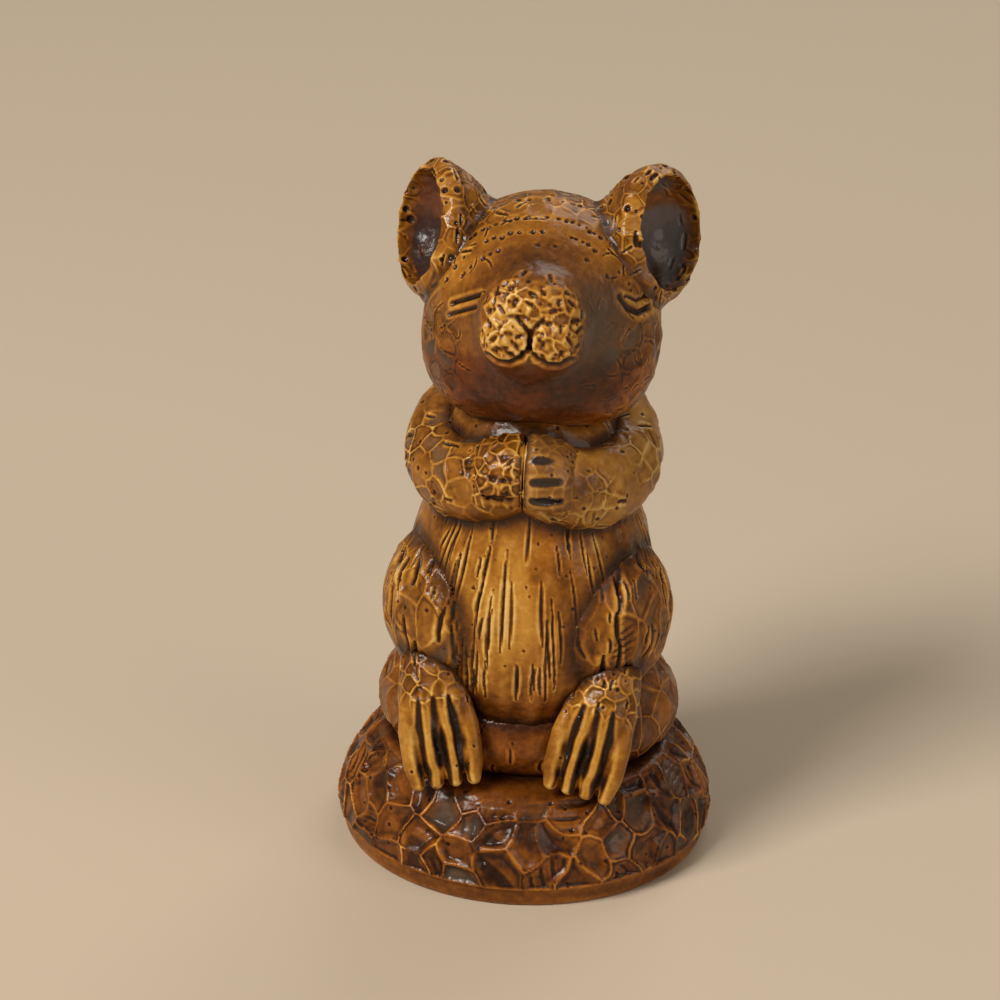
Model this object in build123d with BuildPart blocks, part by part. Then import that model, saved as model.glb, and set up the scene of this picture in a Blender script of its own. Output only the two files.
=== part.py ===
from build123d import *
from math import cos, radians, sin, sqrt
import os

# A mouse figurine sitting upright on a round mound, pieced together like a wood carving.
# Millimetres, +Z up, origin at the centre of the underside. The mouse looks towards -Y,
# so its own left side is on +X. Left pieces are made first and mirrored to the right.

# Base: a thin turned plate under a domed mound
plate_diameter = 43.6
plate_thickness = 2.3
plate_edge = 0.4
mound_height = 10.0
mound_foot_diameter = 45.0
mound_middle_diameter = 42.6
mound_top_diameter = 35.0

# Seat: the rump that the body stands on, flat where it is glued to the mound
seat_width = 36.0
seat_depth = 31.0
seat_height = 13.0
seat_girth_rise = 3.6
seat_foot_inset = 1.2
seat_top_width = 16.0
seat_setback = 1.2

# Torso: a turned pear, heights are above the mound
torso_foot_rise = 3.0
belly_rise = 18.0
waist_rise = 31.0
chest_rise = 38.0
neck_rise = 45.4
torso_foot_diameter = 21.0
belly_diameter = 29.4
waist_diameter = 24.2
chest_diameter = 23.0
neck_diameter = 13.0
torso_forward = 0.9
belly_groove_count = 9
belly_groove_width = 0.9
belly_groove_turn = 9.0

# Thighs: round pads glued to the sides of the belly
thigh_diameter = 20.4
thigh_reach = 17.0
thigh_forward = 3.6

# Hind feet: an instep running down into four toes that hang over the front of the mound
ankle_width = 6.6
ankle_thickness = 5.6
instep_width = 8.6
instep_thickness = 7.6
knuckle_width = 9.4
knuckle_thickness = 5.4
toe_tip_width = 8.2
toe_tip_thickness = 2.6
foot_length = 16.8
toe_length = 7.5
toe_count = 4
toe_gap = 0.5
toe_gap_depth = 2.0
foot_spread = 11.0
foot_toe_in = 3.4
foot_lean = 8.2
foot_drop = 14.0

# Arms: thick bars bent round the chest, from the shoulder down to the elbow and up to the wrist.
# Each sink is how far the arm's middle lies inside the chest.
arm_diameter = 10.4
shoulder_diameter = 9.4
wrist_diameter = 9.6
shoulder_cap = 4.4
shoulder_sink = 3.3
shoulder_setback = 3.8
shoulder_rise = 3.8
elbow_sink = 2.0
elbow_forward = 3.6
elbow_drop = 0.8
wrist_reach = 0.6
wrist_sink = 2.1
wrist_rise = 0.9
arm_sections = 7

# Front paws: blocks with four fingers, the pair meeting at the middle
paw_width = 5.6
paw_height = 9.2
paw_depth = 6.4
paw_rounding = 1.3
finger_count = 4
finger_gap = 0.45
finger_gap_depth = 1.6
paw_lift = 1.0
paw_gap = 0.3

# Head: a ball with full cheeks and a short raised muzzle
head_diameter = 26.8
head_rise = 8.9
head_forward = 1.0
cheek_diameter = 15.0
cheek_reach = 13.1
cheek_drop = 4.2
cheek_forward = 3.4
muzzle_root_diameter = 21.0
muzzle_tip_diameter = 10.6
muzzle_length = 17.6
muzzle_tilt = 14.3
muzzle_rounding = 3.4

# Face: two full lips and a chin under them, and closed eyes given by angles round the head
lip_diameter = 6.4
lip_spread = 4.6
lip_drop = 1.7
lip_proud = 0.5
chin_diameter = 9.0
chin_forward = 9.5
chin_drop = 4.6
eye_turn = 46.0
eye_rise = 16.0
eye_span = 20.0
eye_slant = 6.0
eye_sag = 2.0
eye_slit_width = 1.0

# Ears: deep cups on thick tenons that plug into the head
ear_diameter = 15.8
ear_wall = 1.3
ear_cup_depth = 4.8
ear_back_diameter = 13.2
ear_root_diameter = 10.0
ear_root_depth = 4.0
ear_spread = 13.9
ear_rise = 8.2
ear_setback = 2.0
ear_turn = 65.0
ear_tilt = 12.0

# Tail: a tapering curl that lies on the back of the mound
tail_root_diameter = 4.2
tail_tip_diameter = 1.8
tail_sections = 5

# Pegs and dowels, and the glue room round them
spine_diameter = 5.0
spine_length = 34.0
neck_dowel_diameter = 4.0
neck_dowel_length = 18.0
arm_peg_diameter = 2.5
arm_peg_length = 8.0
peg_clearance = 0.05

# Places that follow from the sizes above
mound_top = plate_thickness + mound_height
belly_z = mound_top + belly_rise
chest_z = mound_top + chest_rise
neck_z = mound_top + neck_rise
head_centre = Vector(0, -head_forward, neck_z + head_rise)
chest_radius = chest_diameter / 2
shoulder = Vector(chest_radius - shoulder_sink, shoulder_setback, chest_z + shoulder_rise)
elbow = Vector(chest_radius - elbow_sink, -elbow_forward, chest_z - elbow_drop)
wrist = Vector(wrist_reach, wrist_sink - chest_radius - torso_forward, chest_z + wrist_rise)


# A cylinder or cone that stands on its plane
STANDING = (Align.CENTER, Align.CENTER, Align.MIN)


def save(piece, name):
    """Writes one piece under its node name."""
    piece.label = name
    export_step(piece, f"parts/{name}.step")


def save_pair(piece, name):
    """Writes a left piece and its mirror image on the right."""
    save(piece, f"left_{name}")
    with BuildPart() as twin:
        add(piece)
        mirror(about=Plane.YZ, mode=Mode.REPLACE)
    save(twin.part, f"right_{name}")


def groove(path, width):
    """A round-bottomed cutter along a path that lies on a surface."""
    with BuildPart() as cutter:
        with BuildSketch(Plane(origin=path @ 0, z_dir=path % 0)):
            Circle(width / 2)
        sweep(path=path)
    return cutter.part


# Base plate
with BuildPart() as base_plate:
    Cylinder(plate_diameter / 2, plate_thickness, align=STANDING)
    chamfer(base_plate.edges().group_by(Axis.Z)[0], plate_edge)

# Spine dowel, standing on the plate and running up through the mound and seat into the torso
with BuildPart(Plane.XY.offset(plate_thickness)) as spine_dowel:
    Cylinder(spine_diameter / 2, spine_length, align=STANDING)

with BuildPart(Plane.XY.offset(plate_thickness)) as spine_bore:
    Cylinder(
        spine_diameter / 2 + peg_clearance,
        spine_length + peg_clearance,
        align=STANDING,
    )

# Mound: its side is one arc from just outside the plate's edge in to the flat top
with BuildPart() as base_mound:
    with BuildSketch(Plane.XZ):
        with BuildLine():
            side = ThreePointArc(
                (mound_foot_diameter / 2, plate_thickness),
                (mound_middle_diameter / 2, plate_thickness + mound_height / 2),
                (mound_top_diameter / 2, mound_top),
            )
            Polyline(side @ 1, (0, mound_top), (0, plate_thickness), side @ 0)
        make_face()
    revolve(axis=Axis.Z)
    add(spine_bore.part, mode=Mode.SUBTRACT)

# Seat: ellipses stacked from the flat foot over the girth to a top inside the torso
seat_levels = (
    (0, seat_width - 2 * seat_foot_inset, seat_depth - 2 * seat_foot_inset),
    (seat_girth_rise, seat_width, seat_depth),
    ((seat_girth_rise + seat_height) / 2, seat_width * 0.88, seat_depth * 0.88),
    (seat_height, seat_top_width, seat_top_width),
)
with BuildPart() as seat_body:
    for rise, width, depth in seat_levels:
        with BuildSketch(Plane.XY.offset(mound_top + rise)):
            with Locations((0, seat_setback)):
                Ellipse(width / 2, depth / 2)
    loft()

# Tail: circles along an arc that leaves the seat at the back and lies on the mound's edge
tail_ring = mound_top_diameter / 2
tail_path = ThreePointArc(
    (tail_ring * 0.3, seat_setback + seat_depth * 0.36, mound_top + seat_girth_rise),
    (-tail_ring * 0.2, tail_ring * 0.99, mound_top + tail_root_diameter * 0.36),
    (-tail_ring * 0.86, tail_ring * 0.5, mound_top + tail_tip_diameter * 0.36),
)
with BuildPart() as tail:
    for number in range(tail_sections):
        along = number / (tail_sections - 1)
        thickness = tail_root_diameter + (tail_tip_diameter - tail_root_diameter) * along
        with BuildSketch(Plane(tail_path.location_at(along))):
            Circle(thickness / 2)
    loft()
    add(base_mound.part, mode=Mode.SUBTRACT)

with BuildPart() as seat:
    add(seat_body.part)
    add(spine_bore.part, mode=Mode.SUBTRACT)
    add(tail.part, mode=Mode.SUBTRACT)

# Neck dowel, half in the torso and half in the head
neck_dowel_foot = neck_z - neck_dowel_length / 2
with BuildPart(Plane.XY.offset(neck_dowel_foot)) as neck_dowel:
    Cylinder(neck_dowel_diameter / 2, neck_dowel_length, align=STANDING)

with BuildPart(Plane.XY.offset(neck_dowel_foot - peg_clearance)) as neck_bore:
    Cylinder(
        neck_dowel_diameter / 2 + peg_clearance,
        neck_dowel_length + 2 * peg_clearance,
        align=STANDING,
    )

# Arm pegs, each driven from the middle of a forearm into the chest
forearm = (elbow + wrist) * 0.5
peg_direction = Vector(-forearm.X, -forearm.Y, 0).normalized()
peg_plane = Plane(origin=forearm - peg_direction * (arm_diameter * 0.4), z_dir=peg_direction)
with BuildPart(peg_plane) as left_peg:
    Cylinder(arm_peg_diameter / 2, arm_peg_length, align=STANDING)

with BuildPart(peg_plane.offset(-peg_clearance)) as left_peg_bore:
    Cylinder(
        arm_peg_diameter / 2 + peg_clearance,
        arm_peg_length + 2 * peg_clearance,
        align=STANDING,
    )

with BuildPart() as arm_pegs:
    add(left_peg.part)
    mirror(about=Plane.YZ)

with BuildPart() as peg_bores:
    add(left_peg_bore.part)
    mirror(about=Plane.YZ)

# Torso: one arc from the seat over the belly to the waist and one over the chest to the neck
torso_axis = Axis((0, -torso_forward, 0), (0, 0, 1))
with BuildPart() as torso_body:
    with BuildSketch(Plane.XZ.offset(torso_forward)):
        with BuildLine():
            lower = ThreePointArc(
                (torso_foot_diameter / 2, mound_top + torso_foot_rise),
                (belly_diameter / 2, belly_z),
                (waist_diameter / 2, mound_top + waist_rise),
            )
            upper = ThreePointArc(
                lower @ 1,
                (chest_diameter / 2, chest_z),
                (neck_diameter / 2, neck_z),
            )
            Polyline(upper @ 1, (0, neck_z), (0, mound_top + torso_foot_rise), lower @ 0)
        make_face()
    revolve(axis=torso_axis)

def belly_spot(share, turn):
    """A point on the lower arc of the torso, turned round its axis from the front."""
    spot = lower @ share
    return Vector(spot.X * sin(radians(turn)), -torso_forward - spot.X * cos(radians(turn)), spot.Y)


with BuildPart() as torso:
    add(torso_body.part)
    for number in range(belly_groove_count):
        turn = (number - (belly_groove_count - 1) / 2) * belly_groove_turn
        start = 0.34 + 0.08 * (number % 2)
        end = 0.92 - 0.1 * (number % 3)
        spots = [belly_spot(share, turn) for share in (start, (start + end) / 2, end)]
        add(groove(ThreePointArc(*spots), belly_groove_width), mode=Mode.SUBTRACT)
    add(seat_body.part, mode=Mode.SUBTRACT)
    add(spine_bore.part, mode=Mode.SUBTRACT)
    add(neck_bore.part, mode=Mode.SUBTRACT)
    add(peg_bores.part, mode=Mode.SUBTRACT)

# Thigh: part of a ball on the side of the belly
with BuildPart() as thigh:
    with Locations((thigh_reach - thigh_diameter / 2, -thigh_forward, belly_z)):
        Sphere(thigh_diameter / 2)
    add(torso_body.part, mode=Mode.SUBTRACT)
    add(seat_body.part, mode=Mode.SUBTRACT)
    split(bisect_by=Plane.YZ, keep=Keep.TOP)

# Hind foot: ellipses stacked down the foot, with slots between the toes
up_foot = Vector(foot_toe_in, foot_lean, foot_drop).normalized()
inwards = up_foot.cross(Vector(1, 0, 0)).normalized()
ankle = Vector(foot_spread, -thigh_forward - thigh_diameter * 0.27, belly_z - thigh_diameter * 0.16)
foot_plane = Plane(origin=ankle, x_dir=inwards.cross(up_foot), z_dir=up_foot)
foot_levels = (
    (0, ankle_width, ankle_thickness),
    (0.36, instep_width, instep_thickness),
    (0.66, knuckle_width, knuckle_thickness),
    (1, toe_tip_width, toe_tip_thickness),
)
with BuildPart() as foot_body:
    for share, width, thickness in foot_levels:
        with BuildSketch(foot_plane.offset(-share * foot_length)):
            Ellipse(width / 2, thickness / 2)
    loft()

toe_pitch = (knuckle_width + toe_tip_width) / 2 / toe_count
with BuildPart(foot_plane) as toe_slots:
    for number in range(toe_count - 1):
        across = (number - (toe_count - 2) / 2) * toe_pitch
        with Locations((across, -knuckle_thickness / 2, -foot_length)):
            Box(toe_gap, 2 * toe_gap_depth, 2 * toe_length)

with BuildPart() as hind_foot:
    add(foot_body.part)
    add(toe_slots.part, mode=Mode.SUBTRACT)
    add(torso_body.part, mode=Mode.SUBTRACT)
    add(seat_body.part, mode=Mode.SUBTRACT)
    add(thigh.part, mode=Mode.SUBTRACT)
    add(base_mound.part, mode=Mode.SUBTRACT)

# Head: ball, cheeks, muzzle, lips and chin in one piece
muzzle_direction = Vector(0, -cos(radians(muzzle_tilt)), sin(radians(muzzle_tilt)))
muzzle_up = Vector(0, sin(radians(muzzle_tilt)), cos(radians(muzzle_tilt)))
lip_middle = muzzle_direction * (muzzle_length + lip_proud - lip_diameter / 2) - muzzle_up * lip_drop
with BuildPart(Plane(origin=head_centre, z_dir=muzzle_direction)) as muzzle:
    Cone(muzzle_root_diameter / 2, muzzle_tip_diameter / 2, muzzle_length, align=STANDING)
    fillet(muzzle.edges().sort_by(Axis.Y)[0], muzzle_rounding)

with BuildPart() as head_body:
    with Locations(head_centre):
        Sphere(head_diameter / 2)
    for side in (-1, 1):
        cheek_x = side * (cheek_reach - cheek_diameter / 2)
        with Locations(head_centre + Vector(cheek_x, -cheek_forward, -cheek_drop)):
            Sphere(cheek_diameter / 2)
        with Locations(head_centre + lip_middle + Vector(side * lip_spread / 2, 0, 0)):
            Sphere(lip_diameter / 2)
    with Locations(head_centre + Vector(0, -chin_forward, -chin_drop)):
        Sphere(chin_diameter / 2)
    add(muzzle.part)


def head_spot(turn, rise):
    """A point on the ball of the head, turned from the front to the left and raised."""
    level = cos(radians(rise))
    way = Vector(level * sin(radians(turn)), -level * cos(radians(turn)), sin(radians(rise)))
    return head_centre + way * (head_diameter / 2)


# Closed eye: a slit from the inner corner down to the outer one
eye_slit = groove(
    ThreePointArc(
        head_spot(eye_turn - eye_span / 2, eye_rise + eye_slant / 2),
        head_spot(eye_turn, eye_rise - eye_sag),
        head_spot(eye_turn + eye_span / 2, eye_rise - eye_slant / 2),
    ),
    eye_slit_width,
)

# Ear: a thick stem from inside the head to a round mouth that looks outwards, with a bowl in it
ear_direction = Vector(
    sin(radians(ear_turn)) * cos(radians(ear_tilt)),
    -cos(radians(ear_turn)) * cos(radians(ear_tilt)),
    sin(radians(ear_tilt)),
)
ear_offset = Vector(ear_spread, ear_setback, ear_rise)
ear_mouth = head_centre + ear_offset
stem_direction = ear_offset.normalized()
stem_foot = head_centre + stem_direction * (head_diameter / 2 - ear_root_depth)
bowl_radius = ear_diameter / 2 - ear_wall
ball_radius = (bowl_radius**2 + ear_cup_depth**2) / (2 * ear_cup_depth)
with BuildPart() as ear_body:
    with BuildSketch(Plane(origin=stem_foot, z_dir=stem_direction)):
        Circle(ear_root_diameter / 2)
    middle = (stem_foot + ear_mouth) * 0.5
    with BuildSketch(Plane(origin=middle, z_dir=ear_direction + stem_direction)):
        Circle(ear_back_diameter / 2)
    with BuildSketch(Plane(origin=ear_mouth, z_dir=ear_direction)):
        Circle(ear_diameter / 2)
    loft()

with BuildPart() as ear:
    add(ear_body.part)
    with Locations(ear_mouth + ear_direction * (ball_radius - ear_cup_depth)):
        Sphere(ball_radius, mode=Mode.SUBTRACT)

with BuildPart() as head:
    add(head_body.part)
    add(torso_body.part, mode=Mode.SUBTRACT)
    add(neck_bore.part, mode=Mode.SUBTRACT)
    add(ear_body.part, mode=Mode.SUBTRACT)
    add(ear_body.part.mirror(Plane.YZ), mode=Mode.SUBTRACT)
    add(eye_slit, mode=Mode.SUBTRACT)
    add(eye_slit.mirror(Plane.YZ), mode=Mode.SUBTRACT)

# Arm: circles along a curve from the rounded shoulder round the elbow to the wrist
arm_path = ThreePointArc(shoulder, elbow, wrist)
with BuildPart() as arm_body:
    for share in (0.95, 0.6):
        cap_foot = shoulder - (arm_path % 0) * (shoulder_cap * share)
        with BuildSketch(Plane(origin=cap_foot, z_dir=arm_path % 0)):
            Circle(shoulder_diameter / 2 * sqrt(1 - share**2))
    for number in range(arm_sections):
        along = number / (arm_sections - 1)
        end_diameter = shoulder_diameter if along < 0.5 else wrist_diameter
        thickness = arm_diameter + (end_diameter - arm_diameter) * abs(2 * along - 1)
        with BuildSketch(Plane(origin=arm_path @ along, z_dir=arm_path % along)):
            Circle(thickness / 2)
    loft()

with BuildPart() as arm:
    add(arm_body.part)
    split(bisect_by=Plane.YZ.offset(paw_gap / 2), keep=Keep.TOP)
    add(torso_body.part, mode=Mode.SUBTRACT)
    add(head_body.part, mode=Mode.SUBTRACT)
    add(left_peg_bore.part, mode=Mode.SUBTRACT)

# Front paw: a rounded block on the front of the wrist, slotted between the fingers
paw_x = (paw_width + paw_gap) / 2
paw_z = wrist.Z + paw_lift
paw_front = wrist.Y - wrist_diameter * 0.62
with BuildPart() as paw_body:
    with BuildSketch(Plane.XZ.offset(-paw_front - paw_depth)):
        with Locations((paw_x, paw_z)):
            RectangleRounded(paw_width, paw_height, paw_rounding * 1.4)
    extrude(amount=paw_depth)
    chamfer(paw_body.faces().sort_by(Axis.Y)[0].edges(), paw_rounding * 0.7)

with BuildPart() as front_paw:
    add(paw_body.part)
    for number in range(finger_count - 1):
        slot_z = paw_z + (number - (finger_count - 2) / 2) * paw_height / finger_count
        with Locations((paw_x, paw_front, slot_z)):
            Box(2 * paw_width, 2 * finger_gap_depth, finger_gap, mode=Mode.SUBTRACT)
    add(arm_body.part, mode=Mode.SUBTRACT)
    add(torso_body.part, mode=Mode.SUBTRACT)
    add(head_body.part, mode=Mode.SUBTRACT)

os.makedirs("parts", exist_ok=True)
save(base_plate.part, "base_plate")
save(base_mound.part, "base_mound")
save(seat.part, "seat")
save(torso.part, "torso")
save(head.part, "head")
save(tail.part, "tail")
save(spine_dowel.part, "spine_dowel")
save(neck_dowel.part, "neck_dowel")
save(arm_pegs.part, "arm_pegs")
save_pair(thigh.part, "thigh")
save_pair(hind_foot.part, "hind_foot")
save_pair(arm.part, "arm")
save_pair(front_paw.part, "front_paw")
save_pair(ear.part, "ear")
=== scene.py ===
import math

import bpy
import numpy as np
from mathutils import Matrix, Vector


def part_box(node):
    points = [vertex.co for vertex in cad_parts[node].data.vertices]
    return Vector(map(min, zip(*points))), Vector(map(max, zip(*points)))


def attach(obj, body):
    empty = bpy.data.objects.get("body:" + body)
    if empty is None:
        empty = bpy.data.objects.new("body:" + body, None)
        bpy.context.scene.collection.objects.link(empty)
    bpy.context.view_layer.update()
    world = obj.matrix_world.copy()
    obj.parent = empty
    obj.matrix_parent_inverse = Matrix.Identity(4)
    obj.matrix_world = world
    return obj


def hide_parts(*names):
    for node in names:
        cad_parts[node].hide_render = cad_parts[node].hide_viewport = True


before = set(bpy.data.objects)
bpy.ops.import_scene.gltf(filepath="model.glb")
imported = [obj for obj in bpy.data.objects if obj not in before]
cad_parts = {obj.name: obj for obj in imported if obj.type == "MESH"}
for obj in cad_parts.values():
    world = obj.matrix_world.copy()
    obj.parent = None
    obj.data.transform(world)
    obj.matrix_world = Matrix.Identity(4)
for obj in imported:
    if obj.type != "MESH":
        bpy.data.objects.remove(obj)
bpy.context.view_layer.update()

# The mouse is sculpted as distance fields in millimetres, in the row frame.
# Each carved piece stands for one CAD node, and the main sizes come from the nodes' boxes.
MM = 0.001
STEP = 0.22
FINE_STEP = 0.16
PLATE_STEP = 0.28
SINK = 0.15
FAR = 1e9
UP = np.array([0.0, 0, 1])
LEFT = 1
RIGHT = -1
rng = np.random.default_rng(7)


def span(node):
    """Lowest and highest corner of a CAD node, in millimetres."""
    low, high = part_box(node)
    return np.array(low) / MM, np.array(high) / MM


def direction(turn, rise):
    """A way turned from the front to the mouse's left and raised, in radians."""
    return np.array([
        math.cos(rise) * math.sin(turn),
        -math.cos(rise) * math.cos(turn),
        math.sin(rise),
    ])


plate_low, plate_high = span("base_plate")
mound_low, mound_high = span("base_mound")
seat_low, seat_high = span("seat")
head_low, head_high = span("head")
paw_low, paw_high = span("left_front_paw")
thigh_low, thigh_high = span("left_thigh")

# Base and seat
PLATE_RADIUS = plate_high[0]
PLATE_TOP = plate_high[2]
MOUND_FOOT_RADIUS = mound_high[0]
MOUND_MIDDLE_RADIUS = 21.3
MOUND_TOP_RADIUS = 17.5
MOUND_TOP = mound_high[2]
MOUND_ROUNDING = 1.6
SEAT_GIRTH_RISE = 3.8
SEAT_HALF_HEIGHT = 9.4
SEAT_CENTRE = np.array([0, (seat_low[1] + seat_high[1]) / 2, MOUND_TOP + SEAT_GIRTH_RISE])
SEAT_RADII = np.array([seat_high[0], (seat_high[1] - seat_low[1]) / 2, SEAT_HALF_HEIGHT])
TAIL_RADII = (2.1, 0.9)

# Slanting sides are scaled so that their distances come out true
MOUND_SIDE_SCALE = 0.85
TORSO_SIDE_SCALE = 0.9

# Torso profile: radius and height above the mound, from the foot to the neck
TORSO_Y = -0.9
TORSO_FOOT = (10.5, 3.0)
TORSO_BELLY = (14.7, 18.0)
TORSO_WAIST = (12.1, 31.0)
TORSO_CHEST = (11.5, 38.0)
TORSO_NECK = (6.5, 45.4)

# Limbs, on the mouse's left side
THIGH_RADII = np.array([9.9, 10.3, 10.8])
THIGH_CENTRE = np.array([thigh_high[0] - THIGH_RADII[0], -3.9, MOUND_TOP + 18.2])
ANKLE = np.array([11.0, -9.1, MOUND_TOP + 14.7])
TOES = np.array([7.55, -17.4, MOUND_TOP + 0.6])
FOOT_LENGTH = np.linalg.norm(TOES - ANKLE)
TOE_RADIUS = 1.1
TOE_PROUD = 0.35
SHOULDER = np.array([8.2, 3.8, MOUND_TOP + 39.8])
ELBOW = np.array([9.5, -3.6, MOUND_TOP + 36.0])
WRIST = np.array([0.6, -10.3, MOUND_TOP + 37.8])
ARM_RADIUS = 5.2
ARM_TAPER = 0.5
ARM_GAP = 0.05
CURVE_POINTS = 9
PAW_Z = (paw_low[2] + paw_high[2]) / 2
PAW_X = (paw_low[0] + paw_high[0]) / 2
PAW_HALF_WIDTH = 2.8
PAW_HALF_HEIGHT = 4.7
PAW_RISE = 0.7
PAW_EDGE = 0.12
PAW_GAP = 0.12
FINGER_PITCH = 2.3
FINGER_DROP = 1.0

# Head. The whole head leans a little to the mouse's left, as in the photograph.
HEAD_LEAN = 0.6
HEAD_RADIUS = 13.4
HEAD_CENTRE = np.array([HEAD_LEAN, head_high[1] - HEAD_RADIUS, head_high[2] - HEAD_RADIUS])
MUZZLE_TILT = math.radians(14.3)
MUZZLE_FORWARD = direction(0, MUZZLE_TILT)
MUZZLE_UP = np.array([0, math.sin(MUZZLE_TILT), math.cos(MUZZLE_TILT)])
MUZZLE_LENGTH = 17.6
MUZZLE_ROOT = 6.0
MUZZLE_ROOT_RADIUS = 8.8
MUZZLE_END = 12.6
MUZZLE_END_RADIUS = 6.1
MUZZLE_ROUNDING = 3.0
CHEEK = np.array([5.6, -3.4, -4.2])
CHEEK_RADIUS = 7.5
CHIN = np.array([0, -9.5, -4.6])
CHIN_RADIUS = 4.5
LIP = MUZZLE_FORWARD * 14.7 - MUZZLE_UP * 1.7 + [2.3, 0, 0]
LIP_RADIUS = 3.2
EAR_MOUTH = HEAD_CENTRE + [13.9, 2.0, 8.2]
EAR_TURN = math.radians(65)
EAR_TILT = math.radians(12)
EAR_RADIUS = 7.9
EAR_WALL = 1.4
EAR_BACK_WALL = 0.8
EAR_BOWL_CENTRE = np.array([0, 0.5])
EAR_BOWL_DEPTH = 5.0
EAR_DISC_CENTRE = np.array([0, -1.2])
EAR_DISC_DEPTH = 4.8
EAR_ROOT_DEPTH = 3.0
EAR_ROOT_RADIUS = 5.0
EAR_STALK_RADIUS = 5.4
EAR_STALK_END = 3.4
LEFT_EAR_SHIFT = np.array([-0.6, 0, 0.9])


# Noise: one table of random numbers, read smoothly

NOISE_SIZE = 32
noise_table = rng.random((NOISE_SIZE,) * 3)


def noise(p, scale, shift=0.0):
    """Smooth random values from 0 to 1, one bump per scale millimetres."""
    q = p / scale + shift
    cell = np.floor(q).astype(int)
    t = q - cell
    t = t * t * (3 - 2 * t)
    result = np.zeros(len(p))
    for corner in np.ndindex(2, 2, 2):
        share = np.abs(1 - np.array(corner) - t).prod(axis=1)
        at = (cell + corner) % NOISE_SIZE
        result += share * noise_table[tuple(at.T)]
    return result


def wobble(p, scale, shifts):
    """Random vectors that change smoothly from place to place."""
    return np.stack([noise(p, scale, shift) for shift in shifts], 1) - 0.5


# Distance fields: negative inside, positive outside

def step_up(low, high, value):
    """Smooth step from 0 at low to 1 at high."""
    t = np.clip((value - low) / (high - low), 0, 1)
    return t * t * (3 - 2 * t)


def bell(value, centre, width):
    """Bell curve: 1 at the centre, fading out over the width."""
    return np.exp(-(((value - centre) / width) ** 2))


def ball(p, centre, radius):
    return np.linalg.norm(p - centre, axis=1) - radius


def egg(p, centre, radii):
    q = (p - centre) / radii
    size = np.linalg.norm(q, axis=1)
    slope = np.linalg.norm(q / radii, axis=1) + 1e-9
    return size * (size - 1) / slope


def rod(p, start, end, start_radius, end_radius):
    line = end - start
    along = np.clip((p - start) @ line / (line @ line), 0, 1)
    gap = np.linalg.norm(p - start - along[:, None] * line, axis=1)
    return gap - (start_radius + (end_radius - start_radius) * along)


def chain(p, points, radii):
    """Rods from point to point."""
    runs = zip(points[:-1], points[1:], radii[:-1], radii[1:])
    return np.minimum.reduce([rod(p, *run) for run in runs])


def chains(p, paths, radii):
    """Several chains with the same radii."""
    return np.minimum.reduce([chain(p, path, radii) for path in paths])


def path_gap(p, points):
    """Distance to a line of straight runs, in two or three dimensions."""
    return chain(p, np.asarray(points, float), np.zeros(len(points)))


def join(a, b, soft):
    """Union with a rounded inside corner."""
    h = np.maximum(soft - np.abs(a - b), 0) / soft
    return np.minimum(a, b) - h * h * soft / 4


def cut(a, b, soft=0.0):
    """a without b, with a rounded edge."""
    if soft <= 0:
        return np.maximum(a, -b)
    return -join(-a, b, soft)


def within(a, b, soft):
    """What a and b share, with a rounded edge."""
    return -join(-a, -b, soft)


def seated(piece, base, collar):
    """A piece that sits on a base with a soft collar and sinks a little into it."""
    return cut(join(piece, base + SINK + 0.05, collar), base + SINK)


def arc_points(start, middle, end, count):
    """Points along the circle through three points."""
    a, b = middle - start, end - start
    normal = np.cross(a, b)
    to_centre = np.cross(normal, a) * (b @ b) + np.cross(b, normal) * (a @ a)
    centre = start + to_centre / (2 * normal @ normal)
    radius = np.linalg.norm(start - centre)
    x_axis = (start - centre) / radius
    y_axis = np.cross(normal / np.linalg.norm(normal), x_axis)
    last = math.atan2((end - centre) @ y_axis, (end - centre) @ x_axis) % (2 * math.pi)
    angles = np.linspace(0, last, count)[:, None]
    return centre + radius * (np.cos(angles) * x_axis + np.sin(angles) * y_axis)


def arc_radius(height, start, middle, end):
    """Radius at a height on the circle through three (radius, height) points."""
    rows, sums = [], []
    for one, two in ((start, middle), (middle, end)):
        rows.append(np.subtract(two, one))
        sums.append((np.dot(two, two) - np.dot(one, one)) / 2)
    centre_radius, centre_height = np.linalg.solve(rows, sums)
    size = math.hypot(start[0] - centre_radius, start[1] - centre_height)
    return centre_radius + np.sqrt(np.clip(size**2 - (height - centre_height) ** 2, 0, None))


def mirrored(p, side):
    """The points as the left side sees them: unchanged for side 1, flipped for side -1."""
    return p * [side, 1, 1]


def on_side(field, side):
    """A left field moved to a side."""
    return lambda p: field(mirrored(p, side))


def both(field):
    """A left field on both sides at once."""
    return lambda p: field(np.stack([np.abs(p[:, 0]), p[:, 1], p[:, 2]], 1))


def without(p, field, *others):
    """A field cut back to sink only a little into its neighbours."""
    for other in others:
        field = cut(field, other(p) + SINK)
    return field


def plate_field(p):
    radius = np.hypot(p[:, 0], p[:, 1]) - PLATE_RADIUS
    flat = np.abs(p[:, 2] - PLATE_TOP / 2) - PLATE_TOP / 2
    return within(radius, flat, 0.5)


def mound_radius(z):
    """Radius of the mound at a height, on the curve through its foot, middle and top."""
    t = np.clip((z - PLATE_TOP) / (MOUND_TOP - PLATE_TOP), -0.2, 1.2)
    foot, middle, top = MOUND_FOOT_RADIUS, MOUND_MIDDLE_RADIUS, MOUND_TOP_RADIUS
    return foot + (4 * middle - 3 * foot - top) * t + 2 * (foot - 2 * middle + top) * t * t


def mound_field(p):
    side = (np.hypot(p[:, 0], p[:, 1]) - mound_radius(p[:, 2])) * MOUND_SIDE_SCALE
    top = p[:, 2] - MOUND_TOP
    return cut(within(side, top, MOUND_ROUNDING), p[:, 2] - PLATE_TOP, 0.25)


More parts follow.
